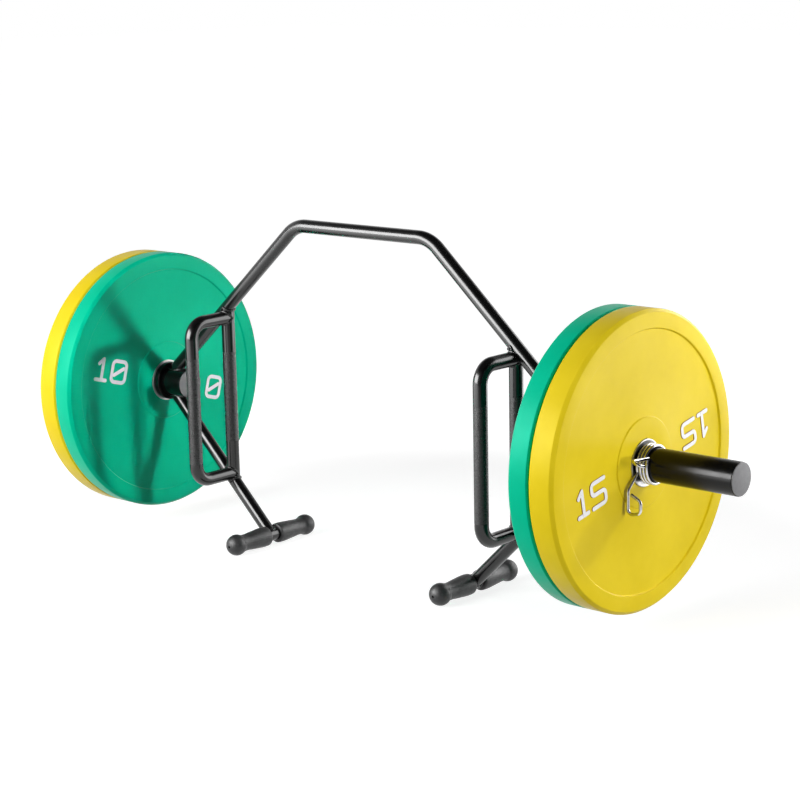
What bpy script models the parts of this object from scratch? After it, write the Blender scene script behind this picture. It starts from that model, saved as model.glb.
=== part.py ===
"""Open-ended trap bar standing on its two feet, loaded with two plates and a spring collar on each side.

Metres, +Z up. The origin is on the floor under the middle of the bar, +X runs along the sleeves to the
right, and the raised handles stand off the frame toward -Y, the front.
"""

import math

import bmesh
import bpy
from mathutils import Matrix, Vector

# Clearances
GAP = 0.0003
WIRE_GAP = 0.0005

# Plates, from the stop flange outward
PLATE_R = 0.225
PLATE_LIFT = 0.034
PLATE_CHAMFER = 0.004
PLATE_10_WIDTH = 0.037
PLATE_15_WIDTH = 0.0415
RIM_BAND = 0.028
RECESS_DEPTH = 0.003
BOSS_BAND = 0.0355
BOSS_DROP = 0.0012
RING_WALL = 0.0102
RING_PROUD = 0.0005
RING_LIP = 0.002
RING_DISH = 0.004

# Sleeves
SLEEVE_R = 0.025
SLEEVE_WALL = 0.005
SLEEVE_EDGE = 0.0006
SLEEVE_TAIL = 0.057
SLEEVE_LOADING = 0.243
CAP_INSET = 0.0006
CAP_THICK = 0.0015
CAP_SPIGOT = 0.012
FLANGE_FACE = 0.472
FLANGE_THICK = 0.010
FLANGE_RISE = 0.008
FLANGE_EDGE = 0.001

# Frame: distances are to centre lines, and heights count from the axle, the line of the sleeves
FRAME_BAR = 0.0222
ARCH_RISE = 0.297
ARCH_HALF = 0.1445
ARCH_BEND = 0.058
ARCH_ROOT_PAST_FLANGE = 0.004
LOW_ARM_BAR = 0.0214
LOW_ARM_ROOT_PAST_FLANGE = 0.0015
FOOT_X = 0.2258

# Handles
HANDLE_BAR = 0.0224
HANDLE_X = 0.3135
HANDLE_OFFSET = 0.086
HANDLE_BEND = 0.028
STUB_BELOW_ARCH = 0.0178
STUB_ABOVE_LOW_ARM = 0.0113

# Feet: a crossbar in two rubber grips, each a flare, a neck and a ball
FOOT_BAR = 0.022
FOOT_HALF = 0.090
GRIP_ARM_GAP = 0.0008
GRIP_FLARE = 0.012
GRIP_FLARE_WALL = 0.0055
GRIP_EDGE = 0.0015
GRIP_NECK_WALL = 0.004
GRIP_NECK_LENGTH = 0.020
GRIP_BALL_WALL = 0.007
GRIP_BALL_INSET = 0.008
GRIP_VENT_R = 0.0015

# Spring collar: lever distances are from the coil's centre line, and heights from the axle
WIRE = 0.005
COIL_TURNS = 3
COIL_POINTS = 24
LOW_LEVER_TURN = -19
LOW_LEVER_OUT = 0.022
LOW_LEVER_KNEE = 0.030
LOW_LEVER_LENGTH = 0.067
LOW_LEVER_WIDTH = 0.022
LOW_LEVER_HOOK = 0.044
FRONT_LEVER_TURN = 30
FRONT_LEVER_OUT = 0.031
FRONT_LEVER_WIDTH = 0.013
FRONT_LEVER_TAIL = 0.012

BAR_SIDES = 16
ROUND_SIDES = 32
PLATE_SIDES = 48
GRIP_SIDES = 20

# What follows from these sizes
AXLE_Z = PLATE_R + PLATE_LIFT
ARCH_ROOT = FLANGE_FACE + ARCH_ROOT_PAST_FLANGE
LOW_ARM_ROOT = FLANGE_FACE + LOW_ARM_ROOT_PAST_FLANGE
SLEEVE_INNER = FLANGE_FACE - SLEEVE_TAIL
SLEEVE_OUTER = FLANGE_FACE + SLEEVE_LOADING
FLANGE_R = SLEEVE_R + FLANGE_RISE
RING_R = SLEEVE_R + GAP + RING_WALL
GRIP_BALL_R = FOOT_BAR / 2 + GRIP_BALL_WALL
# The lowest of a grip's flats touches the floor.
FOOT_DROP = AXLE_Z - GRIP_BALL_R * math.cos(math.pi / GRIP_SIDES)

PAINT = ((0.012, 0.012, 0.013), 0.25, 0.0)
KNURL = ((0.05, 0.05, 0.052), 0.55, 0.2)
RUBBER = ((0.045, 0.045, 0.048), 0.7, 0.0)
GREEN = ((0.0, 0.42, 0.27), 0.45, 0.0)
YELLOW = ((0.78, 0.62, 0.02), 0.45, 0.0)
STEEL = ((0.62, 0.62, 0.62), 0.3, 1.0)
CAP_GREY = ((0.27, 0.27, 0.28), 0.5, 0.0)
CHROME = ((0.8, 0.8, 0.82), 0.12, 1.0)


def clear_scene():
    for obj in list(bpy.data.objects):
        bpy.data.objects.remove(obj, do_unlink=True)


def material(name, look):
    colour, roughness, metallic = look
    made = bpy.data.materials.new(name)
    made.use_nodes = True
    shader = made.node_tree.nodes["Principled BSDF"]
    shader.inputs["Base Color"].default_value = (*colour, 1.0)
    shader.inputs["Roughness"].default_value = roughness
    shader.inputs["Metallic"].default_value = metallic
    return made


def add_object(name, data, look, parent=None):
    """A new object with its own material. A parented one keeps the place that its mesh gives it."""
    obj = bpy.data.objects.new(name, data)
    bpy.context.scene.collection.objects.link(obj)
    if look:
        data.materials.append(material(name, look))
    if parent:
        obj.parent = parent
    return obj


def pivot(name, location):
    """An empty on a joint's axis, which the moving pieces hang from."""
    empty = bpy.data.objects.new(name, None)
    empty.location = location
    empty.empty_display_size = 0.03
    bpy.context.scene.collection.objects.link(empty)
    return empty


def finish_mesh(name, shape):
    """The bmesh as a closed mesh, faces out, smooth but for its sharp edges."""
    bmesh.ops.remove_doubles(shape, verts=shape.verts, dist=1e-6)
    bmesh.ops.recalc_face_normals(shape, faces=shape.faces)
    mesh = bpy.data.meshes.new(name)
    shape.to_mesh(mesh)
    shape.free()
    mesh.shade_smooth()
    mesh.set_sharp_from_angle(angle=math.radians(30))
    return mesh


def turned(name, profile, sides, axis="X"):
    """The closed profile of (distance along the axis, radius) spun once round the axis."""
    shape = bmesh.new()
    points = [shape.verts.new((along, 0, radius)) for along, radius in profile]
    for point, following in zip(points, points[1:] + points[:1]):
        shape.edges.new((point, following))
    bmesh.ops.spin(
        shape,
        geom=list(shape.verts) + list(shape.edges),
        cent=(0, 0, 0),
        axis=(1, 0, 0),
        angle=math.tau,
        steps=sides,
        use_merge=True,
    )
    if axis == "Y":
        shape.transform(Matrix.Rotation(math.radians(90), 4, "Z"))
    # Half a step round puts a flat of the spun shape underneath, not an edge.
    shape.transform(Matrix.Rotation(math.pi / sides, 4, axis))
    return finish_mesh(name, shape)


def bent_path(corners, radius, steps=6):
    """The corners as a line whose inner corners are arcs of the radius."""
    path = [Vector(corners[0])]
    for before, corner, after in zip(corners, corners[1:], corners[2:]):
        before, corner, after = Vector(before), Vector(corner), Vector(after)
        back, ahead = (before - corner).normalized(), (after - corner).normalized()
        half = back.angle(ahead) / 2
        reach = radius / math.tan(half)
        centre = corner + (back + ahead).normalized() * radius / math.sin(half)
        start = corner + back * reach - centre
        end = corner + ahead * reach - centre
        turn = start.angle(end)
        for step in range(steps + 1):
            share = step / steps
            arm = start * math.sin((1 - share) * turn) + end * math.sin(share * turn)
            path.append(centre + arm / math.sin(turn))
    path.append(Vector(corners[-1]))
    return path


def bar_curve(name, path, diameter, sides):
    """A round bar along the path, as a bevelled curve with filled caps."""
    curve = bpy.data.curves.new(name, "CURVE")
    curve.dimensions = "3D"
    curve.bevel_depth = diameter / 2
    curve.bevel_resolution = (sides - 4) // 2
    curve.use_fill_caps = True
    spline = curve.splines.new("POLY")
    spline.points.add(len(path) - 1)
    for point, place in zip(spline.points, path):
        point.co = (*place, 1.0)
    return curve


def bar_mesh(name, path, diameter, sides):
    """The same bar as a mesh, which a Boolean can cut."""
    helper = bpy.data.objects.new(name, bar_curve(name, path, diameter, sides))
    bpy.context.scene.collection.objects.link(helper)
    bpy.context.view_layer.update()
    drawn = bpy.data.meshes.new_from_object(helper.evaluated_get(bpy.context.evaluated_depsgraph_get()))
    bpy.data.objects.remove(helper, do_unlink=True)
    shape = bmesh.new()
    shape.from_mesh(drawn)
    bpy.data.meshes.remove(drawn)
    return finish_mesh(name, shape)


def hide(cutter):
    cutter.hide_render = True
    cutter.display_type = "WIRE"
    return cutter


def rod_cutter(name, start, end, diameter):
    """A hidden rod round which other bars are coped, a gap larger than the bar itself."""
    radius = (diameter / 2 + GAP) / math.cos(math.pi / BAR_SIDES)
    mesh = bar_mesh(name, [Vector(start), Vector(end)], 2 * radius, BAR_SIDES * 2)
    return hide(add_object(name, mesh, None))


def cope(obj, cutters):
    for cutter in cutters:
        cut = obj.modifiers.new(cutter.name, "BOOLEAN")
        cut.operation = "DIFFERENCE"
        cut.solver = "EXACT"
        cut.object = cutter


def above_axle(x, y, z):
    return Vector((x, y, AXLE_Z + z))


def arch_corners():
    """Left root, the two upper corners, right root."""
    left = [above_axle(-ARCH_ROOT, 0, 0), above_axle(-ARCH_HALF, 0, ARCH_RISE)]
    return left + [Vector((-point.x, point.y, point.z)) for point in reversed(left)]


def low_arm_ends(side):
    return above_axle(side * LOW_ARM_ROOT, 0, 0), above_axle(side * FOOT_X, 0, -FOOT_DROP)


def short_of(start, end, distance):
    """The point a distance before the end, so that a coped end keeps no thin horns."""
    return end - (end - start).normalized() * distance


def make_cutters(side, label):
    """What the bars of one side are coped round."""
    root, corner = arch_corners()[:2] if side < 0 else arch_corners()[:1:-1]
    low_root, foot = low_arm_ends(side)
    at = (side * HANDLE_X, 0)
    across = Vector((0, FOOT_HALF, 0))
    first, last = SLEEVE_INNER - FRAME_BAR, ARCH_ROOT + FRAME_BAR
    flange_back = FLANGE_FACE - FLANGE_THICK - GAP
    fit = (SLEEVE_R + GAP) / math.cos(math.pi / ROUND_SIDES)
    wide = (FLANGE_R + GAP) / math.cos(math.pi / ROUND_SIDES)
    profile = [(first, 0), (first, fit), (flange_back, fit), (flange_back, wide), (last, wide), (last, 0)]
    sleeve = turned(f"sleeve_cutter_{label}", [(side * along, r) for along, r in profile], ROUND_SIDES)
    sleeve_cutter = hide(add_object(f"sleeve_cutter_{label}", sleeve, None))
    sleeve_cutter.location.z = AXLE_Z
    return {
        "sleeve": sleeve_cutter,
        "arch": rod_cutter(f"arch_cutter_{label}", root, corner, FRAME_BAR),
        "low_arm": rod_cutter(f"low_arm_cutter_{label}", low_root, foot, LOW_ARM_BAR),
        "low_handle": rod_cutter(
            f"low_handle_cutter_{label}",
            above_axle(*at, -FOOT_DROP),
            above_axle(*at, ARCH_RISE),
            HANDLE_BAR,
        ),
        "foot": rod_cutter(f"foot_cutter_{label}", foot - across, foot + across, FOOT_BAR),
    }


def arm_height(x, root, corner):
    """Height over the axle of a slanting arm's centre line at x."""
    share = (abs(root.x) - abs(x)) / (abs(root.x) - abs(corner.x))
    return share * (corner.z - root.z)


def make_frame_side(side, label, cutters):
    """The bars, sleeve and foot of one side."""
    low_root, foot = low_arm_ends(side)
    low_arm = bar_mesh(
        f"lower_arm_{label}", [low_root, short_of(low_root, foot, FOOT_BAR / 5)], LOW_ARM_BAR, BAR_SIDES
    )
    cope(add_object(f"lower_arm_{label}", low_arm, PAINT), [cutters["sleeve"], cutters["foot"]])

    x = side * HANDLE_X
    horn = HANDLE_BAR / 5
    top = arm_height(x, arch_corners()[0], arch_corners()[1])
    bottom = arm_height(x, low_root, foot)
    low_handle = bar_mesh(
        f"low_handle_{label}",
        [above_axle(x, 0, bottom + horn), above_axle(x, 0, top - horn)],
        HANDLE_BAR,
        BAR_SIDES,
    )
    cope(add_object(f"low_handle_{label}", low_handle, KNURL), [cutters["arch"], cutters["low_arm"]])

    stub_top, stub_bottom = top - STUB_BELOW_ARCH, bottom + STUB_ABOVE_LOW_ARM
    raised = bent_path(
        [
            above_axle(x, -horn, stub_top),
            above_axle(x, -HANDLE_OFFSET, stub_top),
            above_axle(x, -HANDLE_OFFSET, stub_bottom),
            above_axle(x, -horn, stub_bottom),
        ],
        HANDLE_BEND,
    )
    raised_handle = bar_mesh(f"raised_handle_{label}", raised, HANDLE_BAR, BAR_SIDES)
    cope(
        add_object(f"raised_handle_{label}", raised_handle, KNURL),
        [cutters["low_handle"], cutters["arch"], cutters["low_arm"]],
    )

    across = Vector((0, FOOT_HALF, 0))
    foot_bar = bar_mesh(f"foot_crossbar_{label}", [foot - across, foot + across], FOOT_BAR, BAR_SIDES)
    add_object(f"foot_crossbar_{label}", foot_bar, PAINT)
    for facing, end in ((-1, "front"), (1, "rear")):
        name = f"foot_grip_{end}_{label}"
        grip = add_object(name, turned(name, grip_profile(facing), GRIP_SIDES, "Y"), RUBBER)
        grip.location = foot


def grip_profile(facing):
    """A rubber grip from its open inner end, over its flare, neck and ball, and back along its bore."""
    bar = FOOT_BAR / 2
    bore = (bar + GAP) / math.cos(math.pi / BAR_SIDES)
    floor = FOOT_HALF + GAP
    flare, neck = bar + GRIP_FLARE_WALL, bar + GRIP_NECK_WALL
    mouth = LOW_ARM_BAR / 2 + GRIP_ARM_GAP
    ball_at = FOOT_HALF - GRIP_BALL_INSET
    points = [
        (mouth, bore), (mouth, flare - GRIP_EDGE), (mouth + GRIP_EDGE, flare),
        (mouth + GRIP_FLARE, flare), (ball_at - GRIP_NECK_LENGTH, neck),
    ]  # fmt: skip
    meets_neck, widest = math.pi - math.asin(neck / GRIP_BALL_R), math.pi / 2
    tip = math.asin(GRIP_VENT_R / GRIP_BALL_R)
    angles = [meets_neck + (widest - meets_neck) * step / 2 for step in range(2)]
    angles += [widest + (tip - widest) * step / 5 for step in range(6)]
    for angle in angles:
        points.append((ball_at + GRIP_BALL_R * math.cos(angle), GRIP_BALL_R * math.sin(angle)))
    points += [(floor, GRIP_VENT_R), (floor, bore)]
    return [(facing * along, radius) for along, radius in points]


def make_sleeve(side, label):
    """A capped sleeve and the flange that the plates stop against."""
    bore = SLEEVE_R - SLEEVE_WALL
    inner, outer = SLEEVE_INNER + CAP_THICK + GAP, SLEEVE_OUTER - CAP_THICK - GAP
    edge = SLEEVE_EDGE
    tube = [
        (inner, bore), (inner, SLEEVE_R - edge), (inner + edge, SLEEVE_R),
        (outer - edge, SLEEVE_R), (outer, SLEEVE_R - edge), (outer, bore),
    ]  # fmt: skip
    pieces = {f"sleeve_{label}": (tube, PAINT)}
    cap_r, spigot = SLEEVE_R - CAP_INSET, bore - GAP
    for place, face, inward in (("inner", SLEEVE_INNER, 1), ("outer", SLEEVE_OUTER, -1)):
        cap = [
            (face, 0), (face, cap_r - edge), (face + inward * edge, cap_r),
            (face + inward * CAP_THICK, cap_r), (face + inward * CAP_THICK, spigot),
            (face + inward * CAP_SPIGOT, spigot), (face + inward * CAP_SPIGOT, 0),
        ]  # fmt: skip
        pieces[f"sleeve_cap_{place}_{label}"] = (cap, CAP_GREY)
    back, round_off = FLANGE_FACE - FLANGE_THICK, FLANGE_EDGE
    flange = [
        (back, SLEEVE_R + GAP), (back, FLANGE_R - round_off), (back + round_off, FLANGE_R),
        (FLANGE_FACE - round_off, FLANGE_R), (FLANGE_FACE, FLANGE_R - round_off),
        (FLANGE_FACE, SLEEVE_R + GAP),
    ]  # fmt: skip
    pieces[f"stop_flange_{label}"] = (flange, PAINT)
    for name, (profile, look) in pieces.items():
        mesh = turned(name, [(side * along, radius) for along, radius in profile], ROUND_SIDES)
        add_object(name, mesh, look).location.z = AXLE_Z


def ring_profile(inner, outer):
    """A plate's steel hub ring: a narrow lip round a dished mouth at each end of its bore."""
    bore = SLEEVE_R + GAP
    lip = RING_R - RING_LIP
    return [
        (inner + RING_DISH, bore), (inner, lip), (inner, RING_R),
        (outer, RING_R), (outer, lip), (outer - RING_DISH, bore),
    ]  # fmt: skip


def plate_profile(inner, outer):
    """A plate's section: boss, recessed web and rim, alike on both faces."""
    hole = RING_R + GAP
    boss, recess = RING_R + BOSS_BAND, PLATE_R - RIM_BAND
    face = [
        (BOSS_DROP, hole), (BOSS_DROP, boss - BOSS_DROP), (RECESS_DEPTH, boss),
        (RECESS_DEPTH, recess - BOSS_DROP), (0, recess), (0, PLATE_R - PLATE_CHAMFER),
        (PLATE_CHAMFER, PLATE_R),
    ]  # fmt: skip
    inner_face = [(inner + depth, radius) for depth, radius in face]
    outer_face = [(outer - depth, radius) for depth, radius in reversed(face)]
    return inner_face + outer_face


def make_plates(side, label):
    """The two plates of one side, each free to turn on the sleeve. Returns where the last ring ends."""
    at = FLANGE_FACE + GAP
    for number, width, look in (("10", PLATE_10_WIDTH, GREEN), ("15", PLATE_15_WIDTH, YELLOW)):
        ring_inner, ring_outer = at, at + width + 2 * RING_PROUD
        rubber = plate_profile(ring_inner + RING_PROUD, ring_outer - RING_PROUD)
        hub = pivot(f"plate_{number}_{label}_axis", (side * (ring_inner + ring_outer) / 2, 0, AXLE_Z))
        rest = Matrix.Translation((-hub.location.x, 0, 0))
        for name, profile, pattern, sides in (
            (f"plate_{number}_{label}", rubber, look, PLATE_SIDES),
            (f"plate_ring_{number}_{label}", ring_profile(ring_inner, ring_outer), STEEL, ROUND_SIDES),
        ):
            mesh = turned(name, [(side * along, radius) for along, radius in profile], sides)
            mesh.transform(rest)
            add_object(name, mesh, pattern, hub)
        at = ring_outer + GAP
    return at


def collar_path(start, pitch):
    """The wire of a spring collar: lower lever, coil, front lever, from the axle, with +X off the sleeve.

    The coil starts at the lower lever, next to the plates. Angles count up from straight ahead (-Y).
    """
    radius = SLEEVE_R + GAP + WIRE / 2
    low_angle, high_angle = math.radians(LOW_LEVER_TURN), math.radians(FRONT_LEVER_TURN)
    sweep = COIL_TURNS * math.tau + high_angle - low_angle
    end = start + pitch * sweep / math.tau

    def on_coil(turned_by):
        angle = low_angle + turned_by
        return Vector(
            (start + pitch * turned_by / math.tau, -radius * math.cos(angle), radius * math.sin(angle))
        )

    steps = round(COIL_POINTS * sweep / math.tau)
    coil = [on_coil(sweep * step / steps) for step in range(steps + 1)]

    low_y, low_far = -radius - LOW_LEVER_OUT, start + LOW_LEVER_WIDTH
    low = [
        Vector((start + WIRE + WIRE_GAP, low_y, LOW_LEVER_HOOK * -0.82)),
        Vector((low_far, low_y, -LOW_LEVER_HOOK)),
        Vector((low_far, low_y, WIRE - LOW_LEVER_LENGTH)),
        Vector((start, low_y, -LOW_LEVER_LENGTH)),
        Vector((start, low_y, -LOW_LEVER_KNEE)),
        coil[0],
    ]
    front_y, front_z = -radius - FRONT_LEVER_OUT, coil[-1].z
    near, far = end - 0.3 * FRONT_LEVER_WIDTH, end + 0.7 * FRONT_LEVER_WIDTH
    beside = WIRE + WIRE_GAP
    front = [
        coil[-1],
        Vector((near, front_y, front_z + 0.4 * WIRE)),
        Vector((far, front_y, front_z - 0.6 * WIRE)),
        Vector((far, front_y + FRONT_LEVER_TAIL, front_z - 1.2 * WIRE)),
        Vector((near + beside, front_y + 1.5 * FRONT_LEVER_TAIL, front_z - beside)),
    ]
    lower = bent_path(low, WIRE * 0.9, 4)
    upper = bent_path(front, WIRE * 0.9, 4)
    return lower[:-1] + coil + upper[1:]


def least_wire_gap(path):
    """Least free space between stretches of the wire that aren't neighbours along it."""
    lengths = [0.0]
    for before, after in zip(path, path[1:]):
        lengths.append(lengths[-1] + (after - before).length)
    dense = []
    for i in range(len(path) - 1):
        parts = max(1, round((path[i + 1] - path[i]).length / (WIRE / 4)))
        for part in range(parts):
            share = part / parts
            place = path[i].lerp(path[i + 1], share)
            dense.append((lengths[i] + share * (lengths[i + 1] - lengths[i]), place))
    least = math.inf
    for i, (along, place) in enumerate(dense):
        for other_along, other in dense[i + 1 :]:
            if other_along - along > 3 * WIRE:
                least = min(least, (place - other).length)
    return least - WIRE


def make_collar(side, label, at):
    """A wire spring collar. Both are one part, so the left one is the right one turned half round."""
    start = at + WIRE / 2
    path = collar_path(start, WIRE + WIRE_GAP)
    print(f"spring_collar_{label}: least gap of the wire to itself {least_wire_gap(path) * 1000:.2f} mm")
    axis = pivot(f"spring_collar_{label}_axis", (side * start, 0, AXLE_Z))
    points = [Vector((side * (place.x - start), side * place.y, place.z)) for place in path]
    name = f"spring_collar_{label}"
    add_object(name, bar_curve(name, points, WIRE, 6), CHROME, axis)


def main():
    clear_scene()
    cutters = {label: make_cutters(side, label) for side, label in ((-1, "left"), (1, "right"))}
    arch = bar_mesh("arch_bar", bent_path(arch_corners(), ARCH_BEND), FRAME_BAR, BAR_SIDES)
    cope(add_object("arch_bar", arch, PAINT), [cutters["left"]["sleeve"], cutters["right"]["sleeve"]])
    for side, label in ((-1, "left"), (1, "right")):
        make_frame_side(side, label, cutters[label])
        make_sleeve(side, label)
        make_collar(side, label, make_plates(side, label))


main()
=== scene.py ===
"""The look of the open-ended trap bar: fine surfaces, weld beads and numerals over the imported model.

Metres, +Z up, in the model's own frame: +X runs along the sleeves to the right, -Y is the front.
"""

import math
from collections import namedtuple

import bmesh
import bpy
from mathutils import Matrix, Vector


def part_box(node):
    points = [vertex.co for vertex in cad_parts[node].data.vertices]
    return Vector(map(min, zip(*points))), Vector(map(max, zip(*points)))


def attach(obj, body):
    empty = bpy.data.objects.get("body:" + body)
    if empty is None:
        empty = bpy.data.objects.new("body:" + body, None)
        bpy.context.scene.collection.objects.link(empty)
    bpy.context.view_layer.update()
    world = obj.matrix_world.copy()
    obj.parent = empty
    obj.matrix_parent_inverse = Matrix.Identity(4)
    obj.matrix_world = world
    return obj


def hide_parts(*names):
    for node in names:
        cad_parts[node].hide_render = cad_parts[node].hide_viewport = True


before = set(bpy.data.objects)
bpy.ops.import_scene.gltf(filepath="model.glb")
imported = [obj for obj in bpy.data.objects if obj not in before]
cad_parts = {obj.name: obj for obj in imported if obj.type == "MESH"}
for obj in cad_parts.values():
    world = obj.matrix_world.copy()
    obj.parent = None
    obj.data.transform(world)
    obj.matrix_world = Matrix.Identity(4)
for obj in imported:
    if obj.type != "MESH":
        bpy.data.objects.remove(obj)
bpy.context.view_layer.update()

MM = 0.001
SIDES = {"left": -1, "right": 1}

# Camera: place, turn, tilt and roll in radians, sensor and lens in millimetres, and how far it sees
CAMERA_PLACE = (2.26175, -2.44051, 0.98564)
CAMERA_TURN = 0.73025
CAMERA_TILT = -0.2087
CAMERA_ROLL = -0.01941
CAMERA_SENSOR = 36
CAMERA_LENS = 94.567
CAMERA_REACH = 60

# Bars of the frame. Heights count from the axle, the line of the sleeves.
FRAME_BAR = 22.2 * MM
LOW_ARM_BAR = 21.4 * MM
HANDLE_BAR = 22.4 * MM
FOOT_BAR = 22.0 * MM
ARCH_ROOT = 476 * MM
ARCH_HALF = 144.5 * MM
ARCH_RISE = 297 * MM
ARCH_BEND = 58 * MM
LOW_ARM_ROOT = 473.5 * MM
FOOT_X = 225.8 * MM
FOOT_HALF = 90 * MM
HANDLE_X = 313.5 * MM
HANDLE_OFFSET = 86 * MM
HANDLE_BEND = 28 * MM
STUB_BELOW_ARCH = 17.8 * MM
STUB_ABOVE_LOW_ARM = 11.3 * MM
BAR_SIDES = 64
BEND_STEPS = 24
# A bar cut to fit another reaches this far under its skin
COPE_SINK = 0.5 * MM

# Knurled zones of the handles: heights from the axle, points round the bar, the depth of the valleys,
# and how far the teeth stand over the bar as a share of that depth
KNURL_TOP = 69 * MM
KNURL_END_LOW = -87 * MM
KNURL_END_RAISED = -112 * MM
KNURL_SIDES = 80
KNURL_DEPTH = 0.09 * MM
KNURL_PROUD = 0.25

# Weld beads: a bead's least size, ripples and swelling are shares of its radius
BEAD_R = 2.5 * MM
BEAD_LEAST = 0.9
BEAD_RIPPLE = 0.16
BEAD_SWELL = 0.08
BEAD_WAVES = 13
BEAD_UNEVEN = 0.8
BEAD_STEPS = 120
BEAD_SIDES = 14

# Sleeves, with the rounding of each piece's edges
SLEEVE_R = 25 * MM
SLEEVE_BORE = 20 * MM
SLEEVE_EDGE = 0.7 * MM
CAP_THICK = 1.5 * MM
CAP_R = 24.4 * MM
CAP_GAP = 0.3 * MM
CAP_EDGE = 0.6 * MM
FLANGE_R = 33 * MM
FLANGE_EDGE = 0.8 * MM

# Plates and their hub rings
PLATE_CHAMFER = 5 * MM
PLATE_CHAMFER_BETWEEN = 2.8 * MM
RIM_BAND = 28 * MM
RECESS_DEPTH = 3 * MM
BOSS_R = 68.5 * MM
BOSS_DROP = 1.2 * MM
PLATE_EDGE = 0.9 * MM
RING_BORE = 25.3 * MM
RING_R = 35.4 * MM
RING_GAP = 0.2 * MM
RING_LIP = 2 * MM
RING_DISH = 4 * MM
RING_EDGE = 0.4 * MM
PLATE_SIDES = 192
ROUND_SIDES = 96

# Numerals: strokes of one width, rooted in the web and raised off it. Their boxes stand at a radius.
# Where strokes of a figure cross, each lies a step under the one before.
GLYPH_HEIGHT = 36.5 * MM
GLYPH_WIDTH = 0.85 * GLYPH_HEIGHT
GLYPH_GAP = 8.5 * MM
STROKE = 7.1 * MM
STROKE_BEND = 0.85 * STROKE
STROKE_STEP = 0.06 * MM
BEND_CUTS = 6
END_CUTS = 8
# The 1's width, its stem as a share of that and the end of its flag, the height of the 5's waist and the
# heights of the ends of the 0's slash, all else as shares of the glyph's height
ONE_WIDTH = 0.62
ONE_STEM = 0.56
ONE_FLAG = (0.1, 0.76)
FIVE_WAIST = 0.52
ZERO_BEND = 1.25 * STROKE_BEND
SLASH_ENDS = (0.32, 0.68)
SLASH_INSET = 0.75 * STROKE
NUMERAL_R = 132 * MM
NUMERAL_ROOT = -0.6 * MM
NUMERAL_PROUD = 1.2 * MM
NUMERAL_CHAMFER = 0.35 * MM
# The look of a figure's flanks and of its top, by their order in a numeral's looks
FLANK = 0
TOP = 1
# How far the plates of each side are turned on their sleeve, in degrees
PLATE_TURN = {"left": -15.9, "right": 11.3}

# Rubber grips: their outline in mm as (distance from the arm, radius), and the ball at their end. The
# neck meets the ball where its radius is this share of the ball's.
GRIP_BODY = ((11.5, 15.2), (12.4, 16.2), (15, 16.7), (22, 16.9), (32, 16.4), (42, 15.5), (50, 14.9))
GRIP_NECK = ((57, 14.2), (63, 14.0), (68, 14.3), (72, 14.9))
GRIP_BALL_AT = 82 * MM
GRIP_NECK_SHARE = 0.93
GRIP_VENT_R = 2 * MM
GRIP_BORE = 11.3 * MM
GRIP_BORE_GAP = 0.3 * MM
GRIP_BORE_CONE = 1.2 * MM
GRIP_SIDES = 72
BALL_STEPS = 18

# Spring collar: a coil of wire whose ends are bent into two levers. Turns are in degrees.
WIRE = 5 * MM
WIRE_GAP = 0.5 * MM
WIRE_SIDES = 16
COIL_GAP = 0.3 * MM
COIL_TURNS = 3
COIL_POINTS = 72
LEVER_BEND_STEPS = 8
LOW_LEVER_TURN = -19
LOW_LEVER_OUT = 22 * MM
LOW_LEVER_KNEE = 30 * MM
LOW_LEVER_LENGTH = 67 * MM
LOW_LEVER_WIDTH = 22 * MM
LOW_LEVER_HOOK = 44 * MM
LOW_LEVER_TIP = 0.82 * LOW_LEVER_HOOK
LOW_LEVER_BEND = 1.5 * WIRE
FRONT_LEVER_TURN = 30
FRONT_LEVER_OUT = 31 * MM
FRONT_LEVER_WIDTH = 13 * MM
FRONT_LEVER_TAIL = 12 * MM
FRONT_LEVER_BEND = 0.9 * WIRE
# Shares of the front lever's width before and past the coil's end, and heights over that end in wires
FRONT_LEVER_BEFORE = 0.3
FRONT_LEVER_PAST = 0.7
FRONT_LEVER_HEIGHTS = (0.4, -0.6, -1.2)

# Studio lamps, as (place, aim, width, height, power, beam in degrees). The soft ones light surfaces and
# the cards only show in reflections.
SOFT_LAMPS = {
    "right_key": ((1.9, 1.1, 1.06), (1.0, -0.1, 0.1), 0.16, 0.16, 1.3, 58),
    "left_key": ((1.05, 0.61, 0.88), (-0.5, -0.03, 0.24), 0.24, 0.18, 1.4, 48),
    "right_softbox": ((1.5, 0.2, 0.6), (0.55, 0, 0.26), 0.6, 0.6, 1.35, 100),
    "axle_light": ((2.6, 0, 0.26), (0, 0, 0.26), 0.3, 0.3, 14, 180),
    "front_softbox": ((-0.75, -2.4, 1.15), (0, 0, 0.3), 1.6, 1.4, 77, 180),
    "overhead": ((-0.6, -0.6, 3.2), (-0.4, 0, 0), 1.6, 1.6, 10, 180),
}
CARDS = {
    "front_card": ((-0.65, -1.5, 0.87), (0, 0, 0.3), 1.8, 0.95, 88, 180),
    "back_card": ((0.75, 1.05, 0.55), (0.3, 0, 0.3), 1.3, 1.1, 22, 180),
}
# A little light from all round
AMBIENT = 0.01
# Radiance that reflections see: up high, at the horizon, and on the floor. The horizon fades into the
# ceiling between these heights of a direction, and the floor is brighter toward the front left, from the
# first to the second of these distances.
CEILING = 0.05
HORIZON = 1.0
CEILING_RISE = (0.4, 0.8)
FLOOR_GLOW = 1.0
FLOOR_PATCH = 4.0
PATCH_TURN = -135
PATCH_REACH = (0.2, 2.2)
# One side of the studio is dark in reflections: where a direction leans this far toward it, and where
# the floor reaches this far that way
DARK_GLOW = 0.1
DARK_TURN = -16
DARK_LEAN = (0.3, 0.7)
DARK_REACH = (0.9, 1.8)
# The floor, and what the camera sees of it besides its light, under the object and past this reach
FLOOR_HALF = 20
FLOOR_DROP = 0.2 * MM
FLOOR_GREY = 0.36
FLOOR_ROUGHNESS = 0.9
SHADOW_GLOW = 0.84
SHADOW_REACH = (0.7, 1.0)

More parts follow.
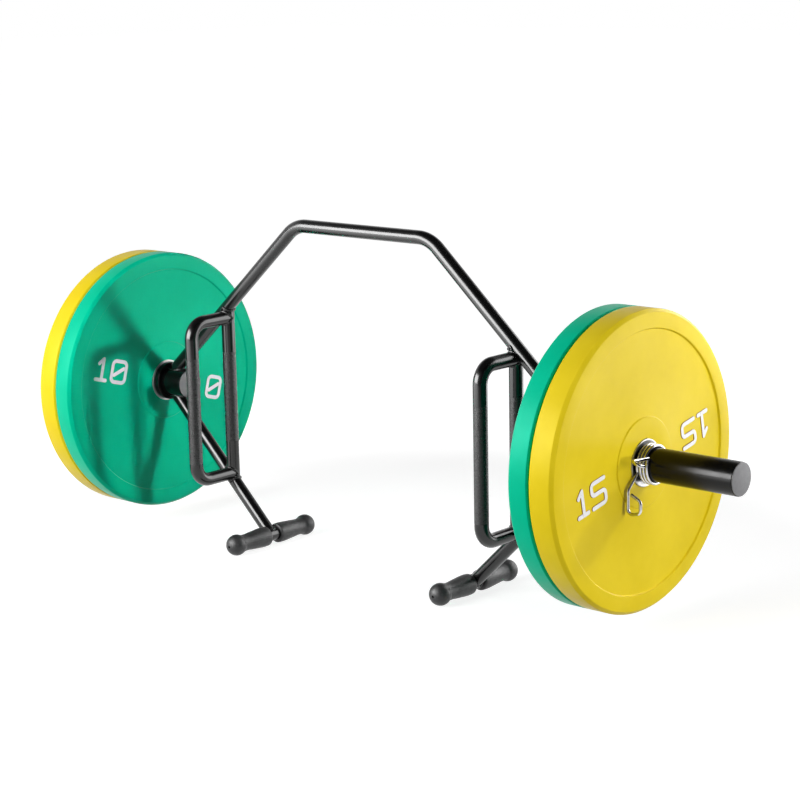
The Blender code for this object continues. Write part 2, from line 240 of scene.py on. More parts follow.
# Shading: edges sharper than this are creased, in degrees. A profile's corner is rounded unless it is
# straighter than this.
CREASE = 40
NEARLY_STRAIGHT = 170
# Where a Mix node keeps its colour sockets, after those for numbers and vectors
MIX_COLOURS = (6, 7)
MIX_RESULT = 2


# Places read from the frame

def middle_height(node):
    low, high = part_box(node)
    return (low.z + high.z) / 2


def span(node):
    """A node's near and far end along the sleeves, as distances from the middle of the bar."""
    low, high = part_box(node)
    return sorted((abs(low.x), abs(high.x)))


AXLE = middle_height("sleeve_right")
FOOT_Z = middle_height("foot_crossbar_right")
# The balls rest on the floor, less a hair that keeps them inside the model's own box.
GRIP_BALL_R = FOOT_Z - 0.01 * MM


# Materials

class Shader:
    """A Principled material. Its colour, roughness and bump come from textures in the piece's metres."""

    def __init__(self, name):
        self.material = bpy.data.materials.new(name)
        self.material.use_nodes = True
        self.tree = self.material.node_tree
        self.bsdf = self.tree.nodes["Principled BSDF"]
        self.place = self.node("ShaderNodeTexCoord").outputs["Object"]

    def node(self, kind, **settings):
        """A new node of a kind, with its settings."""
        made = self.tree.nodes.new(kind)
        for key, value in settings.items():
            setattr(made, key, value)
        return made

    def link(self, output, socket):
        self.tree.links.new(output, socket)

    def set(self, **values):
        """Constants of the shader, by socket name with underscores for spaces."""
        for key, value in values.items():
            self.bsdf.inputs[key.replace("_", " ")].default_value = value
        return self

    def noise(self, grain, detail=3.0, rough=0.5, distortion=0.0, place=None):
        """Noise whose features are about the grain across, in metres."""
        made = self.node("ShaderNodeTexNoise")
        made.inputs["Scale"].default_value = 1 / grain
        made.inputs["Detail"].default_value = detail
        made.inputs["Roughness"].default_value = rough
        made.inputs["Distortion"].default_value = distortion
        self.link(place or self.place, made.inputs["Vector"])
        return made.outputs["Fac"]

    def radius(self):
        """Distance from the piece's X axis, as a coordinate along which turning marks are ruled."""
        split = self.node("ShaderNodeSeparateXYZ")
        self.link(self.place, split.inputs["Vector"])
        squares = []
        for axis in ("Y", "Z"):
            square = self.node("ShaderNodeMath", operation="MULTIPLY")
            self.link(split.outputs[axis], square.inputs[0])
            self.link(split.outputs[axis], square.inputs[1])
            squares.append(square.outputs[0])
        total = self.node("ShaderNodeMath", operation="ADD")
        root = self.node("ShaderNodeMath", operation="SQRT")
        self.link(squares[0], total.inputs[0])
        self.link(squares[1], total.inputs[1])
        self.link(total.outputs[0], root.inputs[0])
        joined = self.node("ShaderNodeCombineXYZ")
        self.link(root.outputs[0], joined.inputs["X"])
        self.link(split.outputs["X"], joined.inputs["Y"])
        return joined.outputs["Vector"]

    def spread(self, value, low, high, from_low=0.3, from_high=0.7):
        """A value's middle range, where noise mostly lies, spread between two levels."""
        made = self.node("ShaderNodeMapRange")
        made.inputs["From Min"].default_value = from_low
        made.inputs["From Max"].default_value = from_high
        made.inputs["To Min"].default_value = low
        made.inputs["To Max"].default_value = high
        self.link(value, made.inputs["Value"])
        return made.outputs["Result"]

    def blend(self, share, first, second):
        """A colour between two, each a colour or another node's colour."""
        made = self.node("ShaderNodeMix", data_type="RGBA")
        self.link(share, made.inputs["Factor"])
        for socket, colour in zip(MIX_COLOURS, (first, second)):
            if isinstance(colour, tuple):
                made.inputs[socket].default_value = (*colour, 1)
            else:
                self.link(colour, made.inputs[socket])
        return made.outputs[MIX_RESULT]

    def colour(self, value):
        self.link(value, self.bsdf.inputs["Base Color"])
        return self

    def roughness(self, value):
        self.link(value, self.bsdf.inputs["Roughness"])
        return self

    def bump(self, *layers):
        """Bumps of (texture, height in metres), one over the other."""
        below = None
        for height, depth in layers:
            made = self.node("ShaderNodeBump")
            made.inputs["Strength"].default_value = 1
            made.inputs["Distance"].default_value = depth
            self.link(height, made.inputs["Height"])
            if below:
                self.link(below, made.inputs["Normal"])
            below = made.outputs["Normal"]
        self.link(below, self.bsdf.inputs["Normal"])
        return self


def mottled(name, specular, colours, cloud, roughness, patches):
    """A material whose colour and roughness each drift between two, over noise of (grain, detail)."""
    s = Shader(name)
    s.set(Specular_IOR_Level=specular)
    s.colour(s.blend(s.spread(s.noise(*cloud), 0, 1), *colours))
    s.roughness(s.spread(s.noise(*patches), *roughness))
    return s


def gloss_paint(name, specular, rough):
    """Black enamel with a little orange peel."""
    s = mottled(
        name, specular, colours=((0.001, 0.001, 0.0011), (0.003, 0.003, 0.0032)), cloud=(0.04, 3),
        roughness=(rough - 0.03, rough + 0.04), patches=(0.012, 4),
    )
    return s.bump((s.noise(0.0035, 2), 0.02 * MM), (s.noise(0.0012, 2), 0.006 * MM)).material


def knurl_paint():
    """Black paint, a little worn on the teeth."""
    s = Shader("knurled_black")
    s.set(Specular_IOR_Level=0.5)
    worn = s.spread(s.noise(0.006, 4, 0.6), 0, 1, 0.35, 0.75)
    s.colour(s.blend(worn, (0.003, 0.003, 0.0033), (0.009, 0.009, 0.0095)))
    s.roughness(s.spread(s.noise(0.004, 3), 0.24, 0.34))
    return s.bump((s.noise(0.0008, 2), 0.03 * MM)).material


def grip_rubber():
    """Dull black rubber with pale scuffs."""
    s = Shader("grip_rubber")
    s.set(Specular_IOR_Level=0.5)
    scuffs = s.spread(s.noise(0.005, 6, 0.72, 0.6), 0, 1, 0.52, 0.8)
    cloud = s.blend(s.spread(s.noise(0.03, 3), 0, 1), (0.008, 0.008, 0.0085), (0.015, 0.015, 0.016))
    s.colour(s.blend(scuffs, cloud, (0.045, 0.045, 0.048)))
    s.roughness(s.spread(s.noise(0.008, 4), 0.42, 0.56))
    return s.bump((s.noise(0.0011, 3, 0.6), 0.09 * MM), (s.noise(0.006, 2), 0.12 * MM)).material


def cap_plastic():
    s = mottled(
        "cap_grey", 0.4, colours=((0.12, 0.12, 0.125), (0.145, 0.145, 0.15)), cloud=(0.01, 4),
        roughness=(0.38, 0.52), patches=(0.003, 3),
    )
    return s.bump((s.noise(0.0006, 2), 0.02 * MM)).material


def plate_rubber(name, deep, light, tint):
    """Satin rubber, with a faint clouding and fine orange peel. Its gloss has the rubber's own tint."""
    s = Shader(name)
    s.set(Specular_IOR_Level=0.12, Specular_Tint=(*tint, 1))
    s.colour(s.blend(s.spread(s.noise(0.09, 4, 0.55), 0, 1), deep, light))
    s.roughness(s.spread(s.noise(0.025, 5, 0.6), 0.32, 0.44))
    return s.bump((s.noise(0.0016, 3), 0.025 * MM), (s.noise(0.03, 2), 0.12 * MM)).material


def numeral_paint(name, deep, light):
    s = mottled(
        name, 0.3, colours=(deep, light), cloud=(0.006, 4), roughness=(0.35, 0.5), patches=(0.004, 3)
    )
    return s.bump((s.noise(0.0012, 2), 0.03 * MM)).material


def shaded_figure_flank():
    """Dark brown painted shade on the flanks of the white figures on the yellow plates."""
    s = mottled(
        "shaded_figure_flank", 0.2, colours=((0.22, 0.07, 0.02), (0.4, 0.16, 0.04)), cloud=(0.004, 3),
        roughness=(0.5, 0.7), patches=(0.003, 3),
    )
    return s.bump((s.noise(0.0008, 2), 0.02 * MM)).material


def turned_steel():
    """Steel with fine rings from the lathe."""
    s = Shader("hub_steel")
    s.set(Metallic=1.0)
    marks = s.noise(0.0006, 4, 0.7, place=s.radius())
    s.colour(s.blend(s.spread(marks, 0, 1), (0.38, 0.38, 0.385), (0.5, 0.5, 0.495)))
    s.roughness(s.spread(s.noise(0.004, 4), 0.28, 0.4))
    return s.bump((marks, 0.003 * MM)).material


def chrome():
    s = Shader("chrome_wire")
    s.set(Metallic=1.0)
    s.colour(s.blend(s.spread(s.noise(0.006, 4), 0, 1), (0.46, 0.46, 0.47), (0.6, 0.6, 0.61)))
    s.roughness(s.spread(s.noise(0.003, 4), 0.06, 0.14))
    return s.bump((s.noise(0.0015, 3), 0.01 * MM)).material


PAINT = gloss_paint("gloss_black_paint", 0.5, 0.2)
SLEEVE_PAINT = gloss_paint("sleeve_black_paint", 0.24, 0.23)
KNURL = knurl_paint()
RUBBER = grip_rubber()
CAP = cap_plastic()
GREEN = plate_rubber(
    "green_rubber", deep=(0.0, 0.495, 0.275), light=(0.001, 0.565, 0.325), tint=(0.1, 1, 0.8)
)
YELLOW = plate_rubber(
    "yellow_rubber", deep=(0.78, 0.585, 0.01), light=(0.86, 0.655, 0.02), tint=(1, 0.92, 0.2)
)
WHITE = numeral_paint("numeral_white", (0.82, 0.82, 0.83), (0.9, 0.9, 0.9))
COOL_WHITE = numeral_paint("numeral_cool_white", (0.78, 0.84, 0.9), (0.84, 0.9, 0.95))
# Painted shade: a dark brown look for the flanks of the yellow plates' figures
SHADED_FIGURE_FLANK = shaded_figure_flank()
STEEL = turned_steel()
CHROME = chrome()


# Mesh building

def place_mesh(name, points, faces, looks, body, slot, origin=(0, 0, 0), look_of=None, flat=None):
    """A piece from points in the model's frame, riding on a body. Its own coordinates count from an
    origin. Each face may pick one of the looks, and may be shaded flat."""
    origin = Vector(origin)
    mesh = bpy.data.meshes.new(name)
    mesh.from_pydata([tuple(Vector(p) - origin) for p in points], [], faces)
    for look in looks:
        mesh.materials.append(look)
    if look_of is not None:
        mesh.polygons.foreach_set("material_index", look_of)
    shape = bmesh.new()
    shape.from_mesh(mesh)
    bmesh.ops.recalc_face_normals(shape, faces=shape.faces)
    shape.to_mesh(mesh)
    shape.free()
    mesh.shade_smooth()
    mesh.set_sharp_from_angle(angle=math.radians(CREASE))
    if flat is not None:
        smooth = [not is_flat for is_flat in flat]
        mesh.polygons.foreach_set("use_smooth", smooth)
    obj = bpy.data.objects.new(name, mesh)
    obj.location = origin
    bpy.context.scene.collection.objects.link(obj)
    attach(obj, body)
    return obj


def dress(node, points, faces, looks, body, slot, **settings):
    """A piece in place of a node of the model."""
    obj = place_mesh(f"{node}_skin", points, faces, looks, body, slot, **settings)
    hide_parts(node)


def skin(rings, closed=False):
    """Faces that join rings of equally many points, with a fan over each end of an open skin."""
    count, sides = len(rings), len(rings[0])
    points = [point for ring in rings for point in ring]
    faces = []
    for i in range(count if closed else count - 1):
        ahead = (i + 1) % count
        for j in range(sides):
            side = (j + 1) % sides
            faces.append((i * sides + j, i * sides + side, ahead * sides + side, ahead * sides + j))
    if not closed:
        for i in (0, count - 1):
            middle = sum((Vector(p) for p in rings[i]), Vector()) / sides
            points.append(middle)
            for j in range(sides):
                faces.append((i * sides + j, i * sides + (j + 1) % sides, len(points) - 1))
    return points, faces


def bent_path(corners, radius, steps=BEND_STEPS):
    """The corners as a line whose inner corners are arcs of the radius."""
    corners = [Vector(corner) for corner in corners]
    path = [corners[0]]
    for before, corner, after in zip(corners, corners[1:], corners[2:]):
        back, ahead = (before - corner).normalized(), (after - corner).normalized()
        half = back.angle(ahead) / 2
        reach = radius / math.tan(half)
        centre = corner + (back + ahead).normalized() * radius / math.sin(half)
        start = corner + back * reach - centre
        end = corner + ahead * reach - centre
        turn = start.angle(end)
        for step in range(steps + 1):
            share = step / steps
            arm = start * math.sin((1 - share) * turn) + end * math.sin(share * turn)
            path.append(centre + arm / math.sin(turn))
    path.append(corners[-1])
    return path


def tube_rings(path, radius, sides):
    """Rings along a path, turned as little as they can be from one to the next."""
    ahead = []
    for before, after in zip(path[:1] + path, path[1:] + path[-1:]):
        ahead.append((after - before).normalized())
    across = ahead[0].orthogonal().normalized()
    rings = []
    for i, (place, along) in enumerate(zip(path, ahead)):
        if i:
            across = ahead[i - 1].rotation_difference(along) @ across
        up = along.cross(across).normalized()
        angles = [math.tau * j / sides for j in range(sides)]
        rings.append([place + (across * math.cos(a) + up * math.sin(a)) * radius for a in angles])
    return rings


# A straight bar: a place on its line, its direction and its radius
Bar = namedtuple("Bar", "place along radius")


def onto_bar(point, along, bar):
    """Where a line through the point, running along a direction, first meets a bar's skin."""
    direction = bar.along.normalized()
    offset = point - bar.place
    offset = offset - direction * offset.dot(direction)
    slant = along - direction * along.dot(direction)
    a, b, c = slant.dot(slant), offset.dot(slant), offset.dot(offset) - bar.radius * bar.radius
    root = math.sqrt(max(b * b - a * c, 0.0))
    return point + along * ((-b - root) / a)


def cope(ring, along, bar):
    """A bar's end ring, with each point slid along the bar until it is just inside another bar."""
    sunk = bar._replace(radius=bar.radius - COPE_SINK)
    return [onto_bar(point, along, sunk) for point in ring]


def lathe(profile, sides, height=0):
    """Faces round the X axis at a height, from a closed profile of (x, radius)."""
    points, faces, rings = [], [], []
    for x, radius in profile:
        if radius <= 0:
            rings.append([len(points)] * sides)
            points.append((x, 0, height))
            continue
        rings.append([len(points) + j for j in range(sides)])
        for j in range(sides):
            angle = math.tau * (j + 0.5) / sides
            points.append((x, radius * math.sin(angle), height + radius * math.cos(angle)))
    for first, second in zip(rings, rings[1:] + rings[:1]):
        for j in range(sides):
            side = (j + 1) % sides
            corners = list(dict.fromkeys((first[j], first[side], second[side], second[j])))
            if len(corners) > 2:
                faces.append(tuple(corners))
    return points, faces


def rounded(profile, radius, steps=4):
    """A closed profile with its corners rounded, by at most a third of the shorter edge beside each."""
    made = []
    count = len(profile)
    for i in range(count):
        before, corner, after = (Vector((*profile[k % count], 0)) for k in (i - 1, i, i + 1))
        back, ahead = before - corner, after - corner
        if corner.y <= 0 or back.angle(ahead) > math.radians(NEARLY_STRAIGHT):
            made.append((corner.x, corner.y))
            continue
        reach = min(radius, back.length / 3, ahead.length / 3)
        start, end = corner + back.normalized() * reach, corner + ahead.normalized() * reach
        for step in range(steps + 1):
            t = step / steps
            place = start * (1 - t) ** 2 + corner * 2 * t * (1 - t) + end * t**2
            made.append((place.x, place.y))
    return made


def turned_piece(node, profile, side, sides, look, body, slot, origin_x):
    """A piece turned round the sleeves' line, in place of a node of the model."""
    points, faces = lathe([(side * x, r) for x, r in profile], sides, AXLE)
    dress(node, points, faces, [look], body, slot, origin=(side * origin_x, 0, AXLE))


# Frame

def axle_point(x, y, z):
    return Vector((x, y, AXLE + z))


def arm_height(x, root, corner):
    """Height over the axle of a slanting arm's centre line at x."""
    share = (abs(root.x) - abs(x)) / (abs(root.x) - abs(corner.x))
    return share * (corner.z - root.z)


def weld(name, bar, other):
    """A rippled bead round the line where one bar, running toward the other, meets its skin."""
    along = bar.along
    across = along.orthogonal().normalized()
    up = along.cross(across).normalized()
    rings = []
    for i in range(BEAD_STEPS):
        angle = math.tau * i / BEAD_STEPS
        outward = across * math.cos(angle) + up * math.sin(angle)
        centre = onto_bar(bar.place + outward * bar.radius, along, other)
        ripple = abs(math.sin(BEAD_WAVES * angle + BEAD_UNEVEN * math.sin(3 * angle)))
        swell = math.sin(2 * angle + 1)
        size = BEAD_R * (BEAD_LEAST + BEAD_RIPPLE * ripple + BEAD_SWELL * swell)
        ring = []
        for j in range(BEAD_SIDES):
            turn = math.tau * j / BEAD_SIDES
            ring.append(centre + (outward * math.cos(turn) + along * math.sin(turn)) * size)
        rings.append(ring)
    points, faces = skin(rings, closed=True)
    place_mesh(name, points, faces, [PAINT], "root", "gloss_black_paint")


def frame_bar(node, rings):
    points, faces = skin(rings)
    dress(node, points, faces, [PAINT], "root", "gloss_black_paint")


def knurled_bar(node, path, top, bottom, ends):
    """A handle: smooth bar, with a knurled zone on its straight between two heights over the axle. Its
    ends are cut to fit two bars."""
    top, bottom = AXLE + top, AXLE + bottom
    step = math.tau * (HANDLE_BAR / 2) / KNURL_SIDES
    upper = [place for place in path if place.z > top + step]
    lower = [place for place in path if place.z < bottom - step]
    straight = upper[-1]
    count = round((top - bottom) / step)
    zone = [Vector((straight.x, straight.y, top - i * step)) for i in range(count + 1)]
    full = upper + zone + lower
    rings = tube_rings(full, HANDLE_BAR / 2, KNURL_SIDES)
    first, last = len(upper), len(upper) + count
    for i in range(first + 1, last):
        middle = full[i]
        for j in range(KNURL_SIDES):
            tooth = KNURL_PROUD if (i + j) % 2 else -1
            outward = (rings[i][j] - middle).normalized()
            rings[i][j] = middle + outward * (HANDLE_BAR / 2 + tooth * KNURL_DEPTH)
    rings[0] = cope(rings[0], (full[0] - full[1]).normalized(), ends[0])
    rings[-1] = cope(rings[-1], (full[-1] - full[-2]).normalized(), ends[1])
    points, quads = skin(rings)
    looks = [PAINT, KNURL]
    smooth, toothed = 0, 1
    faces, look_of, flat = [], [], []
    for face in quads:
        ring, side = divmod(face[0], KNURL_SIDES)
        if len(face) == 4 and first <= ring < last:
            # The quads are halved so that every tooth is a pyramid.
            a, b, c, d = face
            faces += [(a, b, c), (a, c, d)] if (ring + side) % 2 == 0 else [(a, b, d), (b, c, d)]
            look_of += [toothed, toothed]
            flat += [True, True]
        else:
            faces.append(face)
            look_of.append(smooth)
            flat.append(False)
    dress(node, points, faces, looks, "root", "knurled_black", look_of=look_of, flat=flat)


def make_frame():
    sleeve = Bar(axle_point(0, 0, 0), Vector((1, 0, 0)), SLEEVE_R)
    roots = {label: axle_point(side * ARCH_ROOT, 0, 0) for label, side in SIDES.items()}
    corners = {label: axle_point(side * ARCH_HALF, 0, ARCH_RISE) for label, side in SIDES.items()}
    path = bent_path([roots["left"], corners["left"], corners["right"], roots["right"]], ARCH_BEND)
    rings = tube_rings(path, FRAME_BAR / 2, BAR_SIDES)
    # Each arm's line runs on to the axle, so its end ring is slid back to just under the sleeve's skin.
    for end, label in ((0, "left"), (-1, "right")):
        rings[end] = cope(rings[end], (roots[label] - corners[label]).normalized(), sleeve)
    frame_bar("arch_bar", rings)
    for label, side in SIDES.items():
        make_frame_side(label, side, roots[label], corners[label], sleeve)


def make_frame_side(label, side, root, corner, sleeve):
    """The lower arm, foot crossbar, handles and weld beads of one side."""
    down, up, back = Vector((0, 0, -1)), Vector((0, 0, 1)), Vector((0, 1, 0))
    x = side * HANDLE_X
    low_root = axle_point(side * LOW_ARM_ROOT, 0, 0)
    foot = Vector((side * FOOT_X, 0, FOOT_Z))
    arch = Bar(corner, (root - corner).normalized(), FRAME_BAR / 2)
    arm = Bar(foot, (low_root - foot).normalized(), LOW_ARM_BAR / 2)
    crossbar = Bar(foot, back, FOOT_BAR / 2)
    handle = Bar(axle_point(x, 0, 0), up, HANDLE_BAR / 2)

    rings = tube_rings([low_root, foot], LOW_ARM_BAR / 2, BAR_SIDES)
    rings[0] = cope(rings[0], arm.along, sleeve)
    rings[1] = cope(rings[1], -arm.along, crossbar)
    frame_bar(f"lower_arm_{label}", rings)
    rings = tube_rings([foot - back * FOOT_HALF, foot + back * FOOT_HALF], FOOT_BAR / 2, BAR_SIDES)
    frame_bar(f"foot_crossbar_{label}", rings)

    top = arm_height(x, root, corner)
    bottom = arm_height(x, low_root, foot)
    path = [axle_point(x, 0, top), axle_point(x, 0, bottom)]
    knurled_bar(f"low_handle_{label}", path, KNURL_TOP, KNURL_END_LOW, [arch, arm])
    stub_top, stub_bottom = top - STUB_BELOW_ARCH, bottom + STUB_ABOVE_LOW_ARM
    bends = [
        axle_point(x, 0, stub_top),
        axle_point(x, -HANDLE_OFFSET, stub_top),
        axle_point(x, -HANDLE_OFFSET, stub_bottom),
        axle_point(x, 0, stub_bottom),
    ]
    path = bent_path(bends, HANDLE_BEND)
    knurled_bar(f"raised_handle_{label}", path, KNURL_TOP, KNURL_END_RAISED, [handle, handle])

    welds = {
        "arch_to_sleeve": (arch, sleeve),
        "lower_arm_to_sleeve": (arm, sleeve),
        "low_handle_to_arch": (handle, arch),
        "low_handle_to_lower_arm": (handle._replace(along=down), arm),
        "raised_handle_upper": (Bar(bends[1], back, HANDLE_BAR / 2), handle),
        "raised_handle_lower": (Bar(bends[2], back, HANDLE_BAR / 2), handle),
        "lower_arm_to_foot": (Bar(low_root, -arm.along, LOW_ARM_BAR / 2), crossbar),
    }
    for joint, (bar, other) in welds.items():
        weld(f"weld_{joint}_{label}", bar, other)


# Feet

def grip_outline():
    """A grip's outside, from its open end over the body, neck and ball to the vent."""
    outline = [(x * MM, r * MM) for x, r in GRIP_BODY + GRIP_NECK]
    meets = math.pi - math.asin(GRIP_NECK_SHARE)
    vent = math.asin(GRIP_VENT_R / GRIP_BALL_R)
    for step in range(BALL_STEPS + 1):
        angle = meets + (vent - meets) * step / BALL_STEPS
        outline.append((GRIP_BALL_AT + GRIP_BALL_R * math.cos(angle), GRIP_BALL_R * math.sin(angle)))
    return outline


def grip_bore():
    """A grip's inside, from the vent back along the bore, which clears the crossbar's end."""
    end = FOOT_HALF + GRIP_BORE_GAP
    return [(end + GRIP_BORE_CONE, GRIP_VENT_R), (end, GRIP_BORE), (GRIP_BODY[0][0] * MM, GRIP_BORE)]


def smooth_profile(points, steps=4):
    """A finer line through the points, by Catmull-Rom."""
    made = []
    for i in range(len(points) - 1):
        p0, p1 = points[max(i - 1, 0)], points[i]
        p2, p3 = points[i + 1], points[min(i + 2, len(points) - 1)]
        for step in range(steps):
            t = step / steps
            place = []
            for k in (0, 1):
                a, b, c, d = p0[k], p1[k], p2[k], p3[k]
                place.append(
                    0.5 * (2 * b + (c - a) * t + (2 * a - 5 * b + 4 * c - d) * t * t
                           + (3 * b - a - 3 * c + d) * t**3)
                )
            made.append(tuple(place))
    return made + [points[-1]]


def make_feet():
    points, faces = lathe(smooth_profile(grip_outline()) + grip_bore(), GRIP_SIDES)
    for label, side in SIDES.items():
        x = side * FOOT_X
        for end, facing in (("front", -1), ("rear", 1)):
            node = f"foot_grip_{end}_{label}"
            turned = [Vector((x + y, facing * along, FOOT_Z + z)) for along, y, z in points]
            dress(node, turned, faces, [RUBBER], "root", "grip_rubber", origin=(x, 0, FOOT_Z))


# Sleeves

def make_sleeves():
    for label, side in SIDES.items():
        inner, outer = span(f"sleeve_{label}")
        back, front = span(f"stop_flange_{label}")
        tube = [(inner, SLEEVE_BORE), (inner, SLEEVE_R), (outer, SLEEVE_R), (outer, SLEEVE_BORE)]
        flange = [(back, RING_BORE), (back, FLANGE_R), (front, FLANGE_R), (front, RING_BORE)]
        face_in, face_out = inner - CAP_THICK - CAP_GAP, outer + CAP_THICK + CAP_GAP
        rear_in, rear_out = face_in + CAP_THICK, face_out - CAP_THICK
        cap_in = [(face_in, 0), (face_in, CAP_R), (rear_in, CAP_R), (rear_in, 0)]
        cap_out = [(rear_out, 0), (rear_out, CAP_R), (face_out, CAP_R), (face_out, 0)]
        pieces = {
            f"sleeve_{label}": (tube, SLEEVE_EDGE, SLEEVE_PAINT, "gloss_black_paint"),
            f"stop_flange_{label}": (flange, FLANGE_EDGE, SLEEVE_PAINT, "gloss_black_paint"),
            f"sleeve_cap_inner_{label}": (cap_in, CAP_EDGE, CAP, "cap_grey"),
            f"sleeve_cap_outer_{label}": (cap_out, CAP_EDGE, CAP, "cap_grey"),
        }
        for node, (profile, edge, look, slot) in pieces.items():
            turned_piece(node, rounded(profile, edge), side, ROUND_SIDES, look, "root", slot, back)


# Plates

def plate_profile(inner, outer, radius, inner_chamfer, outer_chamfer):
    """A plate's section between two faces: on each a low boss, a recessed web and a rim band."""
    face = [
        (BOSS_DROP, RING_R + RING_GAP),
        (BOSS_DROP, BOSS_R - BOSS_DROP),
        (RECESS_DEPTH, BOSS_R),
        (RECESS_DEPTH, radius - RIM_BAND - BOSS_DROP),
        (0, radius - RIM_BAND),
    ]
    profile = [(inner + depth, r) for depth, r in face]
    profile += [(inner, radius - inner_chamfer), (inner + inner_chamfer, radius)]
    profile += [(outer - outer_chamfer, radius), (outer, radius - outer_chamfer)]
    return profile + [(outer - depth, r) for depth, r in reversed(face)]


def stroke_sides(path, closed):
    """The two edges of a stroke of even width along a flat path."""
    count = len(path)
    left, right = [], []
    for i, place in enumerate(path):
        before = path[i - 1] if closed else path[max(i - 1, 0)]
        after = path[(i + 1) % count] if closed else path[min(i + 1, count - 1)]
        along = (after - before).normalized()
        across = Vector((-along.y, along.x)) * STROKE / 2
        left.append(place + across)
        right.append(place - across)
    return left, right


def flat_path(corners, radius, closed=False):
    """Corners in the glyph's plane joined by straights and arcs."""
    if closed:
        start = (Vector(corners[0]) + Vector(corners[-1])) / 2
        corners = [start, *corners, start]
    path = bent_path([(*corner, 0) for corner in corners], radius, BEND_CUTS)
    path = [Vector((place.x, place.y)) for place in path]
    return path[:-1] if closed else path


def stroke_rings(path, closed):
    """Outlines of a stroke, as loops: one for an open stroke with round ends, two for a closed one."""
    left, right = stroke_sides(path, closed)
    if closed:
        return [left, right]
    loop = list(left)
    for end, rim in ((path[-1], left[-1]), (path[0], right[0])):
        for step in range(1, END_CUTS):
            loop.append(end + Matrix.Rotation(-math.pi * step / END_CUTS, 2) @ (rim - end))
        if end is path[-1]:
            loop += reversed(right)
    return [loop]


def glyph(figure):
    """A figure's width, and its strokes as (path, closed, how many steps it lies lower)."""
    h, w = GLYPH_HEIGHT, GLYPH_WIDTH
    if figure == "1":
        w = ONE_WIDTH * h
        stem = ONE_STEM * w
        flag_x, flag_y = ONE_FLAG
        lines = [((stem, 0), (stem, h)), ((stem, h), (flag_x * h, flag_y * h)), ((0, 0), (w, 0))]
        return w, [(flat_path(line, 1), False, drop) for drop, line in enumerate(lines)]
    if figure == "5":
        waist = FIVE_WAIST * h
        line = [(w, h), (0, h), (0, waist), (w, waist), (w, 0), (0, 0)]
        return w, [(flat_path(line, STROKE_BEND), False, 0)]
    loop = [(0, 0), (0, h), (w, h), (w, 0)]
    low, high = SLASH_ENDS
    slash = [(SLASH_INSET, low * h), (w - SLASH_INSET, high * h)]
    return w, [(flat_path(loop, ZERO_BEND, True), True, 0), (flat_path(slash, 1), False, 1)]


def numeral_strokes(number):
    """The strokes of a number, centred on its box."""
    strokes, at = [], 0.0
    for figure in number:
        width, made = glyph(figure)
        for path, closed, drop in made:
            strokes.append(([place + Vector((at, 0)) for place in path], closed, drop))
        at += width + GLYPH_GAP + STROKE / 2
    middle = Vector(((at - GLYPH_GAP - STROKE / 2) / 2, GLYPH_HEIGHT / 2))
    return [([place - middle for place in path], closed, drop) for path, closed, drop in strokes]


def stroke_solid(path, closed, top):
    """A raised stroke, chamfered to its top: points as (across, up, height), faces, and their looks."""
    points, faces, looks, bases = [], [], [], []
    loops = stroke_rings(path, closed)
    size = len(loops[0])
    for loop in loops:
        base = len(points)
        bases.append(base)
        inset = inset_loop(loop, NUMERAL_CHAMFER, path, closed)
        for outline, height in ((loop, NUMERAL_ROOT), (loop, top - NUMERAL_CHAMFER), (inset, top)):
            points += [(place.x, place.y, height) for place in outline]
        for low, high in ((base, base + size), (base + size, base + 2 * size)):
            for i in range(size):
                after = (i + 1) % size
                faces.append((low + i, low + after, high + after, high + i))
                looks.append(FLANK)
    for level, look in ((0, FLANK), (2, TOP)):
        rims = [base + level * size for base in bases]
        if closed:
            for i in range(size):
                after = (i + 1) % size
                faces.append((rims[0] + i, rims[0] + after, rims[1] + after, rims[1] + i))
                looks.append(look)
        else:
            faces.append(tuple(rims[0] + i for i in range(size)))
            looks.append(look)
    return points, faces, looks


def make_numeral(name, number, face_x, facing, turn, looks, body, slot, origin):
    """Raised figures, twice round a face: upright at the observer's left and upside down opposite."""
    points, faces, look_of = [], [], []
    for half_turn in (0, math.pi):
        angle = math.radians(turn) + half_turn
        for path, closed, drop in numeral_strokes(number):
            stroke, sides, picks = stroke_solid(path, closed, NUMERAL_PROUD - drop * STROKE_STEP)
            faces += [tuple(len(points) + corner for corner in face) for face in sides]
            look_of += picks
            for across, up, height in stroke:
                across -= NUMERAL_R
                y = across * math.cos(angle) - up * math.sin(angle)
                z = across * math.sin(angle) + up * math.cos(angle)
                points.append((face_x + facing * height, facing * y, AXLE + z))
    place_mesh(name, points, faces, looks, body, slot, origin=origin, look_of=look_of)


def inset_loop(loop, distance, path, closed):
    """The loop drawn in toward the stroke's own path by a distance."""
    made = []
    for i, place in enumerate(loop):
        if closed:
            target = path[i]
        else:
            start, end = min(zip(path, path[1:]), key=lambda line: gap_to(place, *line))
            target = nearest_on(place, start, end)
        made.append(place + (target - place).normalized() * distance)
    return made


def nearest_on(place, start, end):
    """The point of a straight line nearest to a place."""
    line = end - start
    share = (place - start).dot(line) / max(line.dot(line), 1e-12)
    return start + line * max(0.0, min(1.0, share))


def gap_to(place, start, end):
    return (place - nearest_on(place, start, end)).length


def make_plates():
    for label, side in SIDES.items():
        make_plate(label, side, "10", GREEN, "green_rubber", [GREEN, COOL_WHITE])
        # The figures on the yellow plates get flanks of painted shade; those on the green plates keep
        # the plate's own rubber.
        make_plate(label, side, "15", YELLOW, "yellow_rubber", [SHADED_FIGURE_FLANK, WHITE])


